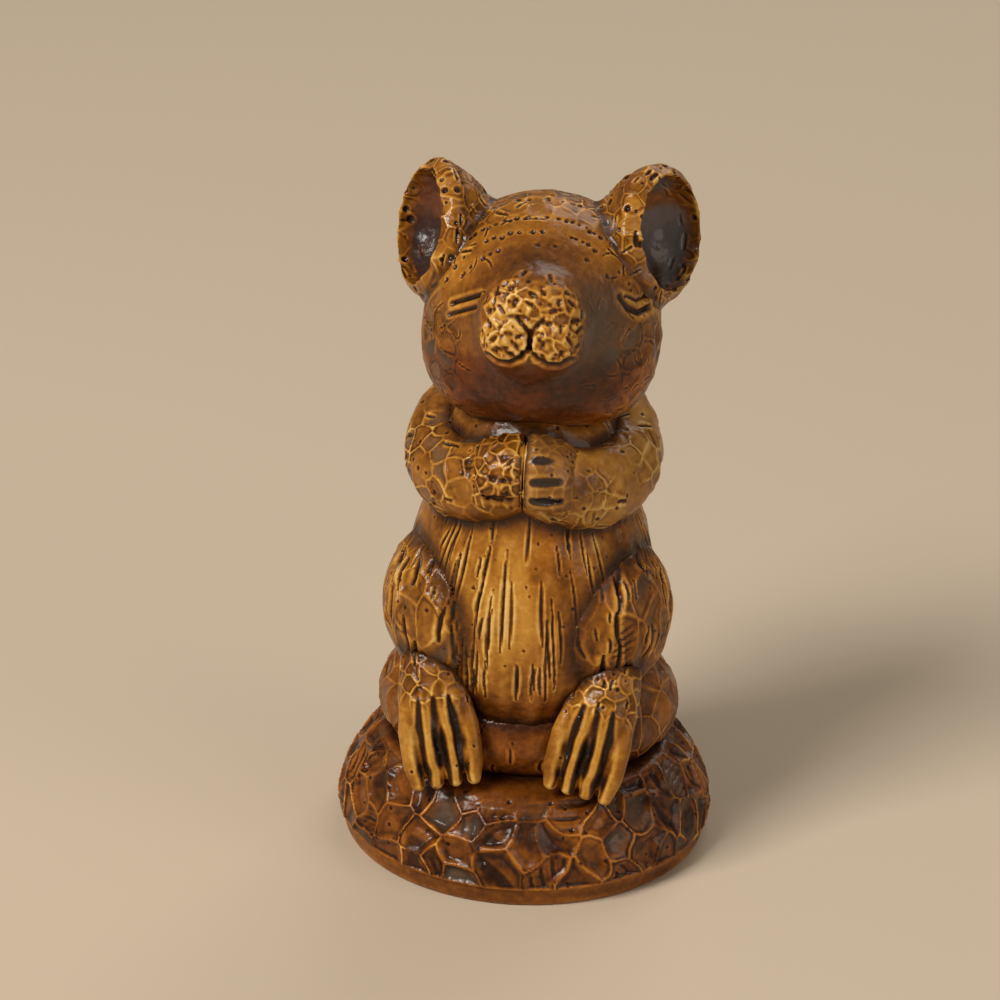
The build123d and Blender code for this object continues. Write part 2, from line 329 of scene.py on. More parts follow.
def seat_field(p):
    return within(egg(p, SEAT_CENTRE, SEAT_RADII), MOUND_TOP - SINK - p[:, 2], 0.3)


def torso_field(p):
    height = p[:, 2] - MOUND_TOP
    waist = TORSO_WAIST[1]
    belly = arc_radius(np.clip(height, 1, waist + 2), TORSO_FOOT, TORSO_BELLY, TORSO_WAIST)
    chest = arc_radius(np.clip(height, waist - 2, TORSO_NECK[1]), TORSO_WAIST, TORSO_CHEST, TORSO_NECK)
    upper = step_up(waist - 2, waist + 2, height)
    side = np.hypot(p[:, 0], p[:, 1] - TORSO_Y) - belly * (1 - upper) - chest * upper
    ends = np.maximum(TORSO_FOOT[1] - height, height - TORSO_NECK[1])
    return within(side * TORSO_SIDE_SCALE, ends, 1.0)


def thigh_field(p):
    return egg(p, THIGH_CENTRE, THIGH_RADII)


# Hind foot: half width and half depth along its length, and the lanes of the toes and gaps

FOOT_SHARES = (0, 0.36, 0.66, 1)
FOOT_WIDTH = np.polyfit(FOOT_SHARES, (3.3, 4.3, 4.7, 4.1), 3)
FOOT_DEPTH = np.polyfit(FOOT_SHARES, (2.8, 3.8, 2.8, 1.5), 3)
foot_along = (TOES - ANKLE) / FOOT_LENGTH
foot_out = np.cross([1.0, 0, 0], foot_along)
foot_out *= -np.sign(foot_out[1]) / np.linalg.norm(foot_out)
foot_across = np.cross(foot_along, foot_out)
TOE_LANES = (-0.78, -0.25, 0.27, 0.78)
TOE_SHARES = (0.36, 0.6, 0.84, 0.97)
TOE_RADII = TOE_RADIUS * np.array([0.6, 1.0, 1.05, 0.75])
TOE_GAP_LANES = (-0.5, 0.02, 0.52)
TOE_GAP_RADII = (0.06, 0.55, 0.38)


def foot_spot(share, lane, lift=0.0):
    """A point on the upper side of the foot, by its shares of the length and half width."""
    rise = np.polyval(FOOT_DEPTH, share) * math.sqrt(1 - lane**2) + lift
    sideways = np.polyval(FOOT_WIDTH, share) * lane
    return ANKLE + foot_along * share * FOOT_LENGTH + foot_across * sideways + foot_out * rise


def toe_gaps(p):
    """The leaf-shaped gaps between the toes."""
    p = p + 0.5 * wobble(p, 1.5, (1.0, 5.0, 9.0))
    paths = [
        [foot_spot(0.4, lane * 0.85, 0.2), foot_spot(0.72, lane, 0.2), foot_spot(1.02, lane * 1.08)]
        for lane in TOE_GAP_LANES
    ]
    return chains(p, paths, TOE_GAP_RADII)


def toes(p):
    """Four long toes on the upper side of the foot, with rounded tips."""
    lift = TOE_PROUD - TOE_RADIUS
    paths = [[foot_spot(share, lane, lift) for share in TOE_SHARES] for lane in TOE_LANES]
    return chains(p, paths, TOE_RADII)


def foot_field(p):
    q = p - ANKLE
    share = np.clip(q @ foot_along / FOOT_LENGTH, 0, 1)
    width = np.polyval(FOOT_WIDTH, share)
    depth = np.polyval(FOOT_DEPTH, share)
    ring = np.hypot(q @ foot_across / width, q @ foot_out / depth)
    ends = np.abs(q @ foot_along - FOOT_LENGTH / 2) - FOOT_LENGTH / 2
    body = within((ring - 1) * np.minimum(width, depth), ends, 1.8)
    body = join(body + 0.55 * step_up(0.4, 0.7, share), toes(p), 0.35)
    return cut(body, toe_gaps(p), 0.25)


# Arm and paw

FINGER_GAP_RADII = (0.22, 0.33, 0.22)
ARM_RADII = ARM_RADIUS - ARM_TAPER * np.linspace(-1, 1, CURVE_POINTS) ** 2
arm_line = arc_points(SHOULDER, ELBOW, WRIST, CURVE_POINTS)


def arm_field(p):
    return chain(p, arm_line, ARM_RADII)


def finger_gaps(p):
    """The slots between the fingers, along the front of the paw."""
    paths = []
    radius = ARM_RADII[-1] + PAW_RISE
    for number in (-1, 0, 1):
        z = PAW_Z - FINGER_DROP + number * FINGER_PITCH
        y = WRIST[1] - math.sqrt(radius**2 - (z - WRIST[2]) ** 2)
        paths.append(np.array([[1.2, y + 0.1, z], [2.6, y + 0.1, z + 0.1], [4.3, y + 0.45, z + 0.2]]))
    return chains(p, paths, FINGER_GAP_RADII)


def paw_field(p):
    """A raised patch on the end of the forearm, thinning out to its edges."""
    sideways = step_up(PAW_HALF_WIDTH, 0.9, np.abs(p[:, 0] - PAW_X))
    upright = step_up(PAW_HALF_HEIGHT, 2.6, np.abs(p[:, 2] - PAW_Z + FINGER_DROP))
    raised = arm_field(p) - PAW_EDGE - (PAW_RISE - PAW_EDGE) * np.sqrt(sideways * upright)
    sides = np.maximum(np.abs(p[:, 0] - PAW_X) - PAW_HALF_WIDTH, np.abs(p[:, 2] - PAW_Z) - PAW_HALF_HEIGHT)
    block = within(raised, np.maximum(sides, p[:, 1] - WRIST[1]), 0.1)
    return cut(block, finger_gaps(p), 0.2)


# Head and ears

def muzzle_frame(p):
    """Sideways, upward and forward places of points, seen from the middle of the head."""
    q = p - HEAD_CENTRE
    return q[:, 0], q @ MUZZLE_UP, q @ MUZZLE_FORWARD


def head_field(p):
    q = p - HEAD_CENTRE
    even = np.stack([np.abs(q[:, 0]), q[:, 1], q[:, 2]], 1)
    field = ball(q, np.zeros(3), HEAD_RADIUS)
    field = join(field, ball(even, CHEEK, CHEEK_RADIUS), 3.0)
    field = join(field, ball(q, CHIN, CHIN_RADIUS), 2.5)
    root = MUZZLE_FORWARD * MUZZLE_ROOT
    end = MUZZLE_FORWARD * MUZZLE_END
    muzzle = rod(q, root, end, MUZZLE_ROOT_RADIUS, MUZZLE_END_RADIUS)
    muzzle = within(muzzle, q @ MUZZLE_FORWARD - MUZZLE_LENGTH, MUZZLE_ROUNDING)
    muzzle = join(muzzle, ball(even, LIP, LIP_RADIUS), 0.8)
    return join(field, muzzle, 3.2)


ear_direction = direction(EAR_TURN, EAR_TILT)
ear_stem = (EAR_MOUTH - HEAD_CENTRE) / np.linalg.norm(EAR_MOUTH - HEAD_CENTRE)


def ear_frame(p):
    """Height above the mouth of the ear and distance from its axis."""
    q = p - EAR_MOUTH
    height = q @ ear_direction
    return height, np.linalg.norm(q - height[:, None] * ear_direction, axis=1)


def ear_bowl(p):
    """The hollow of the ear."""
    height, radial = ear_frame(p)
    radii = np.array([EAR_RADIUS - EAR_WALL, EAR_BOWL_DEPTH])
    return egg(np.stack([radial, height], 1), EAR_BOWL_CENTRE, radii)


def ear_field(p):
    height, radial = ear_frame(p)
    flat = np.stack([radial, height], 1)
    rim_centre = np.array([EAR_RADIUS - EAR_WALL * 0.6, -EAR_WALL * 0.5])
    rim = np.linalg.norm(flat - rim_centre, axis=1) - EAR_WALL * 0.6
    disc = egg(flat, EAR_DISC_CENTRE, np.array([EAR_RADIUS - 0.3, EAR_DISC_DEPTH]))
    root = HEAD_CENTRE + ear_stem * (HEAD_RADIUS - EAR_ROOT_DEPTH)
    tip = EAR_MOUTH - ear_direction * EAR_STALK_END
    stalk = rod(p, root, tip, EAR_ROOT_RADIUS, EAR_STALK_RADIUS)
    return cut(join(join(disc, stalk, 3.0), rim, 0.8), ear_bowl(p), 0.6)


def ear_place(p, side):
    """Points as the left ear's own field sees them, for the ear on either side."""
    shift = LEFT_EAR_SHIFT if side == LEFT else np.zeros(3)
    lean = HEAD_CENTRE * [1, 0, 0]
    return mirrored(p - lean - shift, side) + lean


def cleared_head(p, wall):
    """The head without the room that the bowls of the ears take, with a wall round them."""
    field = head_field(p)
    for side in (RIGHT, LEFT):
        field = cut(field, ear_bowl(ear_place(p, side)) - wall)
    return field


def tail_field(p):
    ring = MOUND_TOP_RADIUS
    start = np.array([ring * 0.3, SEAT_CENTRE[1] + 11.1, MOUND_TOP + 3.6])
    middle = np.array([-ring * 0.2, ring * 0.99, MOUND_TOP + 1.5])
    end = np.array([-ring * 0.86, ring * 0.5, MOUND_TOP + 0.65])
    return chain(p, arc_points(start, middle, end, CURVE_POINTS), np.linspace(*TAIL_RADII, CURVE_POINTS))


# Fields to meshes

def grid_net(field, low, high, step):
    """Closed quad mesh of the zero surface of a field inside a box."""
    low = np.asarray(low, float) - 2.5 * step
    counts = np.ceil((np.asarray(high, float) + 2.5 * step - low) / step).astype(int) + 1
    axes = [low[i] + step * np.arange(counts[i]) for i in range(3)]
    y, z = np.meshgrid(axes[1], axes[2], indexing="ij")
    values = np.empty(counts, np.float32)
    for i, x in enumerate(axes[0]):
        slab = np.stack([np.full(y.size, x), y.ravel(), z.ravel()], 1)
        values[i] = field(slab).reshape(y.shape)
    values = np.pad(values[1:-1, 1:-1, 1:-1], 1, constant_values=step)
    inside = values < 0
    corners = list(np.ndindex(2, 2, 2))
    nx, ny, nz = counts - 1
    total = np.zeros((nx, ny, nz), np.int8)
    for i, j, k in corners:
        total += inside[i:i + nx, j:j + ny, k:k + nz]
    cells = np.argwhere((total > 0) & (total < 8))
    number = np.full((nx, ny, nz), -1, np.int64)
    number[tuple(cells.T)] = np.arange(len(cells))
    corner_values = [values[tuple((cells + c).T)] for c in corners]
    points = np.zeros((len(cells), 3))
    hits = np.zeros(len(cells))
    for a, start in enumerate(corners):
        for b, end in enumerate(corners):
            if b <= a or sum(abs(np.subtract(start, end))) != 1:
                continue
            one, two = corner_values[a], corner_values[b]
            crosses = (one < 0) != (two < 0)
            t = np.where(crosses, one / np.where(crosses, one - two, 1), 0)
            spot = np.array(start) + t[:, None] * np.subtract(end, start)
            points += np.where(crosses[:, None], spot, 0)
            hits += crosses
    points = low + step * (cells + points / hits[:, None])
    quads = []
    for axis in range(3):
        edges = np.argwhere(np.diff(inside, axis=axis))
        outwards = ~inside[tuple((edges + np.eye(3, dtype=int)[axis]).T)]
        ring = []
        for du, dv in ((-1, -1), (0, -1), (0, 0), (-1, 0)):
            cell = edges.copy()
            cell[:, (axis + 1) % 3] += du
            cell[:, (axis + 2) % 3] += dv
            ring.append(number[tuple(cell.T)])
        ring = np.stack(ring, 1)
        quads.append(np.where(outwards[:, None], ring, ring[:, ::-1]))
    return points, np.concatenate(quads)


def normals_of(points, quads):
    a, b, c, d = (points[quads[:, i]] for i in range(4))
    face = np.cross(c - a, d - b)
    normal = np.zeros_like(points)
    for i in range(4):
        for axis in range(3):
            normal[:, axis] += np.bincount(quads[:, i], face[:, axis], len(points))
    return normal / (np.linalg.norm(normal, axis=1, keepdims=True) + 1e-12)


def neighbour_mean(values, quads):
    """Mean over each vertex's neighbours."""
    if values.ndim > 1:
        return np.stack([neighbour_mean(column, quads) for column in values.T], 1)
    ahead = np.roll(quads, -1, axis=1).ravel()
    here = quads.ravel()
    ends = np.concatenate([here, ahead])
    others = np.concatenate([ahead, here])
    count = np.bincount(ends, minlength=len(values))
    return np.bincount(ends, values[others], len(values)) / count


def smoothed(values, quads, times):
    for _ in range(times):
        values = 0.5 * values + 0.5 * neighbour_mean(values, quads)
    return values


class Skin:
    """A carved surface: its mesh, the relief cut into it, and how it is coloured.

    shade runs from dark to worn gold and holds painted light and shade, stain darkens with stains and
    painted shade, grey dulls and holds painted sheen, and red warms.
    """

    def __init__(self, field, node, step, shade, margin=1.5):
        low, high = span(node)
        self.node = node
        self.points, self.quads = grid_net(field, low - margin, high + margin, step)
        self.points = smoothed(self.points, self.quads, 1)
        self.normals = normals_of(self.points, self.quads)
        self.step = step
        self.shade = self.even(shade)
        self.relief, self.stain_and_shade, self.grey, self.red = np.zeros((4, len(self.points)))

    def darken(self, amount):
        self.stain_and_shade = np.maximum(self.stain_and_shade, amount)

    def even(self, share):
        """A mask with the same value all over."""
        return np.full(len(self.points), share)


# Tools of the carver

TRIES = 6000
CREST_WIDTH = 0.17
COMB_DEPTH = 0.12


def pick(skin, mask, count, apart):
    """Random places on the skin where the mask is high, at least so far apart."""
    chosen = []
    for number in rng.permutation(len(skin.points))[:TRIES]:
        if len(chosen) >= count:
            break
        if rng.random() > mask[number]:
            continue
        spot = skin.points[number]
        if chosen and np.min(np.sum((skin.points[chosen] - spot) ** 2, 1)) < apart * apart:
            continue
        chosen.append(number)
    return chosen


def cut_line(skin, gap, width, depth, dark=1.0, lip=0.25):
    """A cut along a line, given each point's distance to it: dark bottom, raised worn lips."""
    bottom = bell(gap, 0, 0.5 * width)
    edge = bell(gap, width, 0.45 * width)
    skin.relief += depth * (lip * edge - bottom)
    skin.darken(dark * step_up(0.2, 0.9, bottom))
    skin.shade += 0.5 * lip * edge


def gouge_cells(skin, mask, size, depth, ridge, dark=0.5, pale=0.3, greyed=0.2, combs=0.06, squash=1.0):
    """Scooped facets, each with its own tilt and tint, and worn pale ridges between them."""
    seeds = skin.points[pick(skin, (mask > 0.05).astype(float), TRIES, size * 0.72)]
    flat = np.array([1, 1, squash])
    spots = skin.points + wobble(skin.points, size * 0.7, (0.0, 9.0, 17.0)) * size * 0.5
    first = np.full(len(spots), FAR)
    second = np.full(len(spots), FAR)
    owner = np.zeros(len(spots), int)
    for number, seed in enumerate(seeds):
        gap = np.linalg.norm((spots - seed) * flat, axis=1)
        closer = gap < first
        second = np.where(closer, first, np.minimum(second, gap))
        owner = np.where(closer, number, owner)
        first = np.where(closer, gap, first)
    edge = second - first
    from_seed = skin.points - seeds[owner]
    tilt = np.sum(from_seed * rng.normal(0, 0.09, seeds.shape)[owner], 1)
    tint = rng.uniform(-1, 1, len(seeds))[owner]
    dull = (rng.random(len(seeds)) < greyed)[owner]
    combed = (rng.random(len(seeds)) < combs)[owner]
    stripe = np.sin(np.sum(from_seed * rng.normal(0, 4.0, seeds.shape)[owner], 1))
    crest = bell(edge, 0, CREST_WIDTH)
    foot = bell(edge, 2.4 * CREST_WIDTH, CREST_WIDTH)
    scoop = step_up(0, size * 0.5, edge)
    worn = 0.1 + 0.9 * step_up(0.4, 0.68, noise(skin.points, size * 1.2, 11.0))
    patchy = step_up(0.42, 0.6, noise(skin.points, size * 0.8, 4.0))
    skin.relief += mask * (ridge * crest - depth * scoop + tilt * scoop)
    skin.relief -= mask * combed * scoop * COMB_DEPTH * step_up(0, 1, stripe)
    skin.shade += mask * (pale * crest * worn - 0.04 * scoop + 0.11 * tint * scoop)
    skin.darken(mask * dark * foot * patchy)
    skin.darken(mask * combed * scoop * 0.75 * step_up(0.2, 0.9, stripe))
    skin.grey += mask * dull * scoop * 0.6


def strokes(skin, mask, count, length, width, depth, guide, apart=0.8, bend=0.0, dark=1.0):
    """Leaf-shaped cuts along a guide direction."""
    for number in pick(skin, mask, count, apart):
        spot, normal = skin.points[number], skin.normals[number]
        along = guide(spot, normal)
        along = along - normal * (along @ normal)
        along /= np.linalg.norm(along) + 1e-9
        across = np.cross(normal, along)
        reach = length * rng.uniform(0.55, 1.3) / 2
        half = width * rng.uniform(0.7, 1.25) / 2
        curve = bend * rng.uniform(-1, 1)
        q = skin.points - spot
        near = np.flatnonzero(np.sum(q * q, 1) < (reach + 1.0) ** 2)
        q = q[near]
        t = q @ along / reach
        s = np.abs(q @ across - curve * reach * (t * t - 0.3))
        taper = np.sqrt(np.clip(1 - t * t, 0, 1))
        inside = (taper > 0) & (np.abs(q @ normal) < 1.5 + 0.3 * reach)
        groove = inside * np.clip(1 - s / (half * taper + 0.02), 0, 1)
        lip = inside * bell(s, half * 1.5, half * 0.8) * taper
        skin.relief[near] += lip * depth * 0.25 - step_up(0, 1, groove) * depth
        skin.stain_and_shade[near] = np.maximum(skin.stain_and_shade[near], dark * step_up(0, 0.8, groove))
        skin.shade[near] += 0.12 * lip


def one_way(way):
    """A guide for cuts that all run one way."""
    return lambda spot, normal: way


def round_axis(axis, stray):
    """A guide for cuts that run round an axis and stray a little."""
    return lambda spot, normal: np.cross(normal, axis) + stray * rng.normal(size=3)


def punch(skin, spots, radius, depth, dark=0.9):
    """Small punched holes at given places."""
    for spot in spots:
        size = radius * rng.uniform(0.6, 1.3)
        gap = np.sum((skin.points - spot) ** 2, 1)
        near = np.flatnonzero(gap < (2.2 * size) ** 2)
        hole = np.clip(1.2 - np.sqrt(gap[near]) / size, 0, 1)
        skin.relief[near] -= depth * step_up(0, 1, hole)
        skin.stain_and_shade[near] = np.maximum(skin.stain_and_shade[near], dark * step_up(0, 0.7, hole))


def pits(skin, mask, count, radius, depth, apart=0.5, dark=0.9):
    """Small punched holes scattered over the skin."""
    punch(skin, skin.points[pick(skin, mask, count, apart)], radius, depth, dark)


def crease_shade(skin, *fields, reach=0.9, strength=0.7):
    """Painted shade: darkens the skin where it meets its neighbours."""
    for field in fields:
        gap = np.abs(field(skin.points))
        skin.darken(strength * bell(gap, 0, reach))


def calm(skin, *fields, reach=0.8):
    """Fades the relief out towards the edges, where the skin runs under its neighbours."""
    for field in fields:
        skin.relief *= step_up(-0.1, reach, field(skin.points))


def finish_skin(skin, slot, work="carved"):
    """Cuts the relief, rubs the ridges pale and the hollows dark, and makes the object."""
    skin.points = skin.points + skin.normals * skin.relief[:, None]
    skin.points = skin.points + 0.3 * (neighbour_mean(skin.points, skin.quads) - skin.points)
    skin.normals = normals_of(skin.points, skin.quads)
    bulge = np.sum((skin.points - neighbour_mean(skin.points, skin.quads)) * skin.normals, 1)
    bulge = smoothed(bulge / skin.step, skin.quads, 1)
    rubbed = np.clip(bulge * 2.2, -0.45, 0.2)
    broad = 0.22 * (noise(skin.points, 4.3, 2.0) - 0.5)
    fine = 0.12 * (noise(skin.points, 0.9, 5.0) - 0.5)
    shade = np.clip(skin.shade + rubbed + broad + fine, 0, 1)
    shade = shade * (1 - 0.93 * np.clip(skin.stain_and_shade, 0, 1))
    name = f"{skin.node}_{work}"
    mesh = bpy.data.meshes.new(name)
    mesh.vertices.add(len(skin.points))
    mesh.vertices.foreach_set("co", (skin.points * MM).ravel())
    mesh.loops.add(skin.quads.size)
    mesh.loops.foreach_set("vertex_index", skin.quads.ravel())
    mesh.polygons.add(len(skin.quads))
    mesh.polygons.foreach_set("loop_start", np.arange(0, skin.quads.size, 4))
    mesh.update(calc_edges=True)
    mesh.validate()
    mesh.shade_smooth()
    for label, values in (("shade", shade), ("grey", skin.grey), ("red", skin.red)):
        attribute = mesh.attributes.new(label, "FLOAT", "POINT")
        attribute.data.foreach_set("value", np.clip(values, 0, 1).astype(np.float32))
    mesh.materials.append(woods[slot])
    piece = bpy.data.objects.new(name, mesh)
    bpy.context.scene.collection.objects.link(piece)
    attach(piece, "root")
    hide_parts(skin.node)


# Materials

STAIN_STOPS = (
    (0.0, (0.008, 0.003, 0.001)),
    (0.2, (0.042, 0.013, 0.0015)),
    (0.4, (0.15, 0.048, 0.0035)),
    (0.6, (0.33, 0.123, 0.010)),
    (0.8, (0.56, 0.275, 0.040)),
    (1.0, (0.76, 0.50, 0.16)),
)
DOWEL_STOPS = (
    (0.0, (0.45, 0.27, 0.12)),
    (1.0, (0.68, 0.48, 0.27)),
)
# The colour that the grey layer dulls towards: dull random cells, and painted grey sheen on the head and the
# left arm.
DULL_BROWN = (0.10, 0.072, 0.05, 1)
# Slate grey that the ears' grey layer dulls towards: painted grey sheen in the left cup, and dull random
# cells.
SLATE = (0.15, 0.14, 0.145, 1)
RED_TINT = (1.0, 0.66, 0.5, 1)
SPECK_SCALE = 1300
SPECK_DRIFT = 0.36
SPECK_HEIGHT = 0.0002
RIPPLE_SCALE = 420
RIPPLE_HEIGHT = 0.0012


def new_material(name):
    material = bpy.data.materials.new(name)
    material.use_nodes = True
    return material, material.node_tree, material.node_tree.nodes["Principled BSDF"]


def layer(tree, name):
    """An attribute that the carving leaves."""
    node = tree.nodes.new("ShaderNodeAttribute")
    node.attribute_name = name
    return node.outputs["Fac"]


def fill(node, values):
    """Sets a node's inputs by their names."""
    for label, value in values.items():
        node.inputs[label].default_value = value


def speckle(tree, place, scale, detail=2.0, roughness=0.5):
    """Noise in the object's own space."""
    node = tree.nodes.new("ShaderNodeTexNoise")
    fill(node, {"Scale": scale, "Detail": detail, "Roughness": roughness})
    tree.links.new(place, node.inputs["Vector"])
    return node.outputs["Fac"]


def math_node(tree, operation, *values):
    """A sum of numbers and of other nodes' outputs."""
    node = tree.nodes.new("ShaderNodeMath")
    node.operation = operation
    for entry, value in zip(node.inputs, values):
        if isinstance(value, bpy.types.NodeSocket):
            tree.links.new(value, entry)
        else:
            entry.default_value = value
    return node.outputs["Value"]


def ramped(tree, value, stops):
    """A value's colour between stops."""
    node = tree.nodes.new("ShaderNodeValToRGB")
    elements = node.color_ramp.elements
    while len(elements) < len(stops):
        elements.new(0.5)
    for element, (position, colour) in zip(elements, stops):
        element.position = position
        element.color = (*colour, 1)
    tree.links.new(value, node.inputs["Fac"])
    return node.outputs["Color"]


def tinted(tree, mode, factor, base, tint):
    """A colour changed towards a tint, as far as the factor says."""
    node = tree.nodes.new("ShaderNodeMix")
    node.data_type = "RGBA"
    node.blend_type = mode
    node.inputs[7].default_value = tint
    tree.links.new(factor, node.inputs[0])
    tree.links.new(base, node.inputs[6])
    return node.outputs[2]


def bumped(tree, height, distance, under=None):
    """Normals bent by a height."""
    node = tree.nodes.new("ShaderNodeBump")
    fill(node, {"Strength": 0.3, "Distance": distance})
    tree.links.new(height, node.inputs["Height"])
    if under:
        tree.links.new(under, node.inputs["Normal"])
    return node.outputs["Normal"]


def carved_material(name, gloss=0.3, dull_colour=DULL_BROWN):
    """Stained and varnished wood, coloured by the attributes that the carving leaves."""
    material, tree, shader = new_material(name)
    place = tree.nodes.new("ShaderNodeTexCoord").outputs["Object"]
    speck = speckle(tree, place, SPECK_SCALE, detail=5, roughness=0.65)
    ripple = speckle(tree, place, RIPPLE_SCALE)
    drift = math_node(tree, "MULTIPLY_ADD", speck, SPECK_DRIFT, -SPECK_DRIFT / 2)
    stain_and_shade = ramped(tree, math_node(tree, "ADD", layer(tree, "shade"), drift), STAIN_STOPS)
    warm = tinted(tree, "MULTIPLY", layer(tree, "red"), stain_and_shade, RED_TINT)
    dull = tinted(tree, "MIX", layer(tree, "grey"), warm, dull_colour)
    grainy = bumped(tree, speck, SPECK_HEIGHT, under=bumped(tree, ripple, RIPPLE_HEIGHT))
    tree.links.new(dull, shader.inputs["Base Color"])
    tree.links.new(math_node(tree, "MULTIPLY_ADD", speck, 0.3, gloss), shader.inputs["Roughness"])
    tree.links.new(grainy, shader.inputs["Normal"])
    tree.links.new(grainy, shader.inputs["Coat Normal"])
    fill(shader, {"Specular IOR Level": 0.12, "Coat Weight": 0.4, "Coat Roughness": 0.1})
    return material


def dowel_material():
    """Bare sanded wood with grain along the dowel."""
    material, tree, shader = new_material("dowel_wood")
    place = tree.nodes.new("ShaderNodeTexCoord").outputs["Object"]
    stretch = tree.nodes.new("ShaderNodeMapping")
    fill(stretch, {"Scale": (900, 900, 60)})
    tree.links.new(place, stretch.inputs["Vector"])
    grain = speckle(tree, stretch.outputs["Vector"], 1)
    tree.links.new(ramped(tree, grain, DOWEL_STOPS), shader.inputs["Base Color"])
    fill(shader, {"Roughness": 0.6})
    return material


woods = {
    "varnished_wood": carved_material("varnished_wood", gloss=0.34),
    "carved_ear": carved_material("carved_ear", gloss=0.2, dull_colour=SLATE),
}
for slot in ("carved_mound", "carved_wood", "carved_belly", "carved_paw", "carved_head"):
    woods[slot] = carved_material(slot)
dowel_wood = dowel_material()


# Pieces of the base and body

def carve_plate():
    skin = Skin(plate_field, "base_plate", PLATE_STEP, shade=0.44, margin=0.3)
    z = skin.points[:, 2]
    skin.red += 0.35
    skin.shade += 0.2 * bell(z, PLATE_TOP, 0.35)
    skin.relief += 0.14 * (noise(skin.points, 5.0, 1.0) - 0.5) * step_up(0.5, 0.9, z)
    finish_skin(skin, "varnished_wood", work="turned")


def carve_mound():
    skin = Skin(mound_field, "base_mound", STEP, shade=0.42, margin=0.8)
    x, y, z = skin.points.T
    skin.red += 0.45
    side = step_up(0.15, 0.5, z - PLATE_TOP) * step_up(0.97, 0.8, np.abs(skin.normals[:, 2]))
    high = step_up(MOUND_TOP - 2.6, MOUND_TOP - 1.2, z)
    ledge = bell(x, 0, 7.5) * step_up(-12, -15, y) * high
    gouged = np.clip(side - ledge, 0, 1)
    gouge_cells(skin, gouged, size=4.4, depth=0.45, ridge=0.2, dark=1.0, pale=0.34, combs=0.35)
    pits(skin, side * 0.5, 130, 0.26, 0.2, apart=1.2)
    skin.darken(0.5 * side * step_up(0.6, 0.8, noise(skin.points, 1.9, 30.0)))
    skin.shade -= 0.07 * ledge
    crease_shade(skin, seat_field, both(foot_field), reach=1.2, strength=0.75)
    finish_skin(skin, "carved_mound")


def carve_seat():
    def shape(p):
        return without(p, seat_field(p), torso_field)

    skin = Skin(shape, "seat", STEP, shade=0.46, margin=0.8)
    front = bell(skin.points[:, 0], 0, 6.0) * step_up(-9, -11.5, skin.points[:, 1])
    skin.red += 0.35 + 0.3 * front
    gouge_cells(skin, np.clip(0.8 - 1.6 * front, 0, 1), size=4.2, depth=0.3, ridge=0.12, pale=0.2)
    strokes(
        skin, front * 0.5, count=12, length=2.2, width=0.4, depth=0.2,
        guide=one_way(UP), apart=1.4, bend=0.4, dark=0.6,
    )
    crease_shade(skin, torso_field, both(foot_field), both(thigh_field), reach=1.0)
    crease_shade(skin, mound_field, reach=0.7)
    finish_skin(skin, "carved_wood")


BELLY_CUTS = 70


def belly_lines():
    """Long upright cuts on the belly, as (sideways, top, length, lean, width, depth)."""
    lines = []
    for _ in range(BELLY_CUTS):
        sideways = rng.uniform(-13, 13)
        top = rng.uniform(14, 35)
        length = min(rng.uniform(2.5, 13), top - 10.5)
        lean = 0.012 * sideways * length + rng.uniform(-0.2, 0.2)
        lines.append((sideways, top, length, lean, rng.uniform(0.26, 0.46), rng.uniform(0.12, 0.4)))
    return lines


def stain_belly(skin, around, height, front):
    """A honey patch on gold, partly the wood's tone and partly a painted highlight; painted shade towards
    the bottom of the belly; and planed upright streaks.
    """
    # Honey tone of the wood, with a painted highlight on the lit side.
    honey_and_highlight = bell(around, -4.0, 4.5) * bell(height, 23, 7.0)
    gold = bell(around, 0, 9.0) * bell(height, 19, 8.0)
    # Painted shade towards the bottom of the belly, which is also warmed red.
    underside_shade = step_up(13.0, 9.5, height) * front
    planed = noise(skin.points * [1, 1, 0.2], 1.7, 13.0) - 0.5
    streaks = noise(skin.points * [1, 1, 0.1], 0.8, 21.0) - 0.5
    skin.shade += front * (0.27 * honey_and_highlight + 0.08 * gold) - 0.16 * underside_shade
    skin.shade += front * (0.12 * planed + 0.2 * streaks)
    skin.red += 0.25 * front * bell(around, 3.5, 5.0) + 0.25 * underside_shade
    skin.relief += 0.45 * front * planed


def carve_torso():
    skin = Skin(torso_field, "torso", 0.96 * STEP, shade=0.51, margin=5.0)
    x, y, z = skin.points.T
    turn = np.arctan2(x, TORSO_Y - y)
    around = turn * TORSO_BELLY[0]
    height = z - MOUND_TOP
    front = step_up(1.3, 1.0, np.abs(turn))
    stain_belly(skin, around, height, front)
    for sideways, top, length, lean, width, depth in belly_lines():
        t = np.clip((top - height) / length, 0, 1)
        wave = 0.1 * np.sin(4 * t + sideways)
        gap = np.abs(around - sideways - lean * t - wave)
        taper = np.sqrt(4 * t * (1 - t))
        cut_line(skin, gap / (taper + 0.001), width, depth * taper, dark=rng.uniform(0.55, 1.0))
    strokes(
        skin, (1 - front) * 0.7, count=170, length=4.5, width=0.6, depth=0.4,
        guide=one_way(-UP), apart=1.6, bend=0.2, dark=0.8,
    )
    pits(skin, front * 0.5, 60, 0.2, 0.2, apart=1.0)
    crease_shade(skin, seat_field, both(arm_field), both(thigh_field), both(foot_field), reach=0.8)
    finish_skin(skin, "carved_belly")


def carve_tail():
    def shape(p):
        return without(p, tail_field(p), seat_field, mound_field)

    skin = Skin(shape, "tail", FINE_STEP, shade=0.55, margin=0.8)
    strokes(
        skin, skin.even(0.7), count=40, length=2.4, width=0.5, depth=0.25,
        guide=lambda spot, normal: np.cross(UP, spot), apart=0.9,
    )
    crease_shade(skin, seat_field, mound_field, reach=0.5)
    finish_skin(skin, "carved_wood")


# Pieces of the limbs, on both sides

